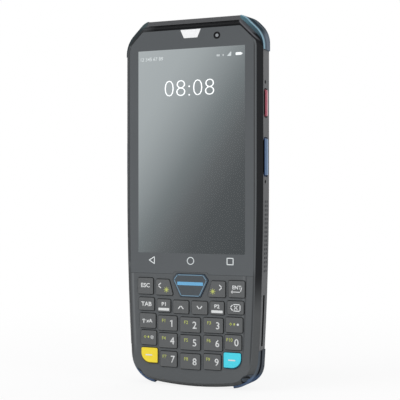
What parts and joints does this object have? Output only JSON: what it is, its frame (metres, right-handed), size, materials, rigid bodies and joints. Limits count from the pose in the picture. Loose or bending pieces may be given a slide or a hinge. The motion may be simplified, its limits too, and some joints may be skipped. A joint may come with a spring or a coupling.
{
  "type": "portable barcode data terminal",
  "caption": "Upright handheld data terminal with a tall touch display above a keypad with a wide scan key, rubber corner bumpers, side scan keys and a removable battery cover.",
  "frame": {"origin": "middle of the foot, halfway through the depth", "axes": "+Z from the foot to the head, +X to the right of the display, +Y from the display to the back"},
  "size_m": [0.081, 0.02, 0.1997],
  "materials": {
    "housing": "fine texture",
    "band": "fine texture",
    "display_glass": "gloss cover glass with a dark printed border",
    "display_panel": "smooth",
    "white_trim": "smooth",
    "camera_glass": "polished",
    "dark_plastic": "moulded",
    "silicone": "matt",
    "dome_steel": "bright",
    "board": "solder mask",
    "chassis": "cast",
    "battery": "wrapped",
    "gold": "plated",
    "screw_steel": "blackened",
    "scan_window": "tinted",
    "clear_lens": "clear",
    "bumper_blue": "satin",
    "dark_key": "satin",
    "red_key": "satin",
    "blue_key": "satin",
    "yellow_key": "satin",
    "cyan_key": "satin"
  },
  "bodies": {
    "terminal": {"front_housing": "housing", "display_glass": "display_glass", "display_panel": "display_panel", "earpiece_cover": "white_trim", "receiver": "dark_plastic", "front_camera": "camera_glass", "keypad_mat": "silicone", "dome_switches": "dome_steel", "keypad_board": "board", "mid_frame": "band", "side_switches": "dome_steel", "chassis_plate": "chassis", "main_board": "board", "rear_housing": "housing", "battery_pack": "battery", "battery_contacts": "gold", "housing_screws": "screw_steel", "scan_window": "scan_window", "scan_engine": "dark_plastic", "rear_camera": "camera_glass", "flash_lens": "clear_lens", "loudspeaker": "dark_plastic", "usb_socket": "screw_steel", "bumper_top_left": "bumper_blue", "bumper_top_right": "bumper_blue", "bumper_bottom_left": "bumper_blue", "bumper_bottom_right": "bumper_blue"},
    "key_esc_cap": {"key_esc": "dark_key"},
    "key_left_cap": {"key_left": "dark_key"},
    "key_scan_cap": {"key_scan": "dark_key"},
    "key_right_cap": {"key_right": "dark_key"},
    "key_enter_cap": {"key_enter": "dark_key"},
    "key_tab_cap": {"key_tab": "dark_key"},
    "key_p1_cap": {"key_p1": "dark_key"},
    "key_up_cap": {"key_up": "dark_key"},
    "key_down_cap": {"key_down": "dark_key"},
    "key_p2_cap": {"key_p2": "dark_key"},
    "key_backspace_cap": {"key_backspace": "dark_key"},
    "key_case_cap": {"key_case": "dark_key"},
    "key_1_cap": {"key_1": "dark_key"},
    "key_2_cap": {"key_2": "dark_key"},
    "key_3_cap": {"key_3": "dark_key"},
    "key_star_cap": {"key_star": "dark_key"},
    "key_hash_cap": {"key_hash": "dark_key"},
    "key_4_cap": {"key_4": "dark_key"},
    "key_5_cap": {"key_5": "dark_key"},
    "key_6_cap": {"key_6": "dark_key"},
    "key_0_cap": {"key_0": "dark_key"},
    "key_yellow_cap": {"key_yellow": "yellow_key"},
    "key_7_cap": {"key_7": "dark_key"},
    "key_8_cap": {"key_8": "dark_key"},
    "key_9_cap": {"key_9": "dark_key"},
    "key_cyan_cap": {"key_cyan": "cyan_key"},
    "side_key_red_cap": {"side_key_red": "red_key"},
    "side_scan_right_cap": {"side_scan_right": "blue_key"},
    "side_scan_left_cap": {"side_scan_left": "blue_key"},
    "volume_rocker_cap": {"volume_rocker": "dark_key"},
    "battery_lid": {"battery_cover": "housing"}
  },
  "joints": [
    {"name": "side_key_red_press", "type": "slide", "parent": "terminal", "child": "side_key_red_cap", "axis": [-1, 0, 0], "range_m": [0, 0.0004], "stiffness_N_per_m": 1500},
    {"name": "side_scan_right_press", "type": "slide", "parent": "terminal", "child": "side_scan_right_cap", "axis": [-1, 0, 0], "range_m": [0, 0.0004], "stiffness_N_per_m": 1500},
    {"name": "side_scan_left_press", "type": "slide", "parent": "terminal", "child": "side_scan_left_cap", "axis": [1, 0, 0], "range_m": [0, 0.0004], "stiffness_N_per_m": 1500},
    {"name": "volume_rocker_tilt", "type": "hinge", "parent": "terminal", "child": "volume_rocker_cap", "pos_m": [-0.0371, -0.0015, 0.153], "axis": [0, 1, 0], "range_deg": [-2, 2], "stiffness_Nm_per_rad": 0.15},
    {"name": "battery_cover_lift", "type": "slide", "parent": "terminal", "child": "battery_lid", "axis": [0, 1, 0], "range_m": [0, 0.025]},
    {"name": "key_esc_press", "type": "slide", "parent": "terminal", "child": "key_esc_cap", "axis": [0, 1, 0], "range_m": [0, 0.0005], "stiffness_N_per_m": 1500},
    {"name": "key_left_press", "type": "slide", "parent": "terminal", "child": "key_left_cap", "axis": [0, 1, 0], "range_m": [0, 0.0005], "stiffness_N_per_m": 1500},
    {"name": "key_scan_press", "type": "slide", "parent": "terminal", "child": "key_scan_cap", "axis": [0, 1, 0], "range_m": [0, 0.0005], "stiffness_N_per_m": 1500},
    {"name": "key_right_press", "type": "slide", "parent": "terminal", "child": "key_right_cap", "axis": [0, 1, 0], "range_m": [0, 0.0005], "stiffness_N_per_m": 1500},
    {"name": "key_enter_press", "type": "slide", "parent": "terminal", "child": "key_enter_cap", "axis": [0, 1, 0], "range_m": [0, 0.0005], "stiffness_N_per_m": 1500},
    {"name": "key_tab_press", "type": "slide", "parent": "terminal", "child": "key_tab_cap", "axis": [0, 1, 0], "range_m": [0, 0.0005], "stiffness_N_per_m": 1500},
    {"name": "key_p1_press", "type": "slide", "parent": "terminal", "child": "key_p1_cap", "axis": [0, 1, 0], "range_m": [0, 0.0005], "stiffness_N_per_m": 1500},
    {"name": "key_up_press", "type": "slide", "parent": "terminal", "child": "key_up_cap", "axis": [0, 1, 0], "range_m": [0, 0.0005], "stiffness_N_per_m": 1500},
    {"name": "key_down_press", "type": "slide", "parent": "terminal", "child": "key_down_cap", "axis": [0, 1, 0], "range_m": [0, 0.0005], "stiffness_N_per_m": 1500},
    {"name": "key_p2_press", "type": "slide", "parent": "terminal", "child": "key_p2_cap", "axis": [0, 1, 0], "range_m": [0, 0.0005], "stiffness_N_per_m": 1500},
    {"name": "key_backspace_press", "type": "slide", "parent": "terminal", "child": "key_backspace_cap", "axis": [0, 1, 0], "range_m": [0, 0.0005], "stiffness_N_per_m": 1500},
    {"name": "key_case_press", "type": "slide", "parent": "terminal", "child": "key_case_cap", "axis": [0, 1, 0], "range_m": [0, 0.0005], "stiffness_N_per_m": 1500},
    {"name": "key_1_press", "type": "slide", "parent": "terminal", "child": "key_1_cap", "axis": [0, 1, 0], "range_m": [0, 0.0005], "stiffness_N_per_m": 1500},
    {"name": "key_2_press", "type": "slide", "parent": "terminal", "child": "key_2_cap", "axis": [0, 1, 0], "range_m": [0, 0.0005], "stiffness_N_per_m": 1500},
    {"name": "key_3_press", "type": "slide", "parent": "terminal", "child": "key_3_cap", "axis": [0, 1, 0], "range_m": [0, 0.0005], "stiffness_N_per_m": 1500},
    {"name": "key_star_press", "type": "slide", "parent": "terminal", "child": "key_star_cap", "axis": [0, 1, 0], "range_m": [0, 0.0005], "stiffness_N_per_m": 1500},
    {"name": "key_hash_press", "type": "slide", "parent": "terminal", "child": "key_hash_cap", "axis": [0, 1, 0], "range_m": [0, 0.0005], "stiffness_N_per_m": 1500},
    {"name": "key_4_press", "type": "slide", "parent": "terminal", "child": "key_4_cap", "axis": [0, 1, 0], "range_m": [0, 0.0005], "stiffness_N_per_m": 1500},
    {"name": "key_5_press", "type": "slide", "parent": "terminal", "child": "key_5_cap", "axis": [0, 1, 0], "range_m": [0, 0.0005], "stiffness_N_per_m": 1500},
    {"name": "key_6_press", "type": "slide", "parent": "terminal", "child": "key_6_cap", "axis": [0, 1, 0], "range_m": [0, 0.0005], "stiffness_N_per_m": 1500},
    {"name": "key_0_press", "type": "slide", "parent": "terminal", "child": "key_0_cap", "axis": [0, 1, 0], "range_m": [0, 0.0005], "stiffness_N_per_m": 1500},
    {"name": "key_yellow_press", "type": "slide", "parent": "terminal", "child": "key_yellow_cap", "axis": [0, 1, 0], "range_m": [0, 0.0005], "stiffness_N_per_m": 1500},
    {"name": "key_7_press", "type": "slide", "parent": "terminal", "child": "key_7_cap", "axis": [0, 1, 0], "range_m": [0, 0.0005], "stiffness_N_per_m": 1500},
    {"name": "key_8_press", "type": "slide", "parent": "terminal", "child": "key_8_cap", "axis": [0, 1, 0], "range_m": [0, 0.0005], "stiffness_N_per_m": 1500},
    {"name": "key_9_press", "type": "slide", "parent": "terminal", "child": "key_9_cap", "axis": [0, 1, 0], "range_m": [0, 0.0005], "stiffness_N_per_m": 1500},
    {"name": "key_cyan_press", "type": "slide", "parent": "terminal", "child": "key_cyan_cap", "axis": [0, 1, 0], "range_m": [0, 0.0005], "stiffness_N_per_m": 1500}
  ]
}
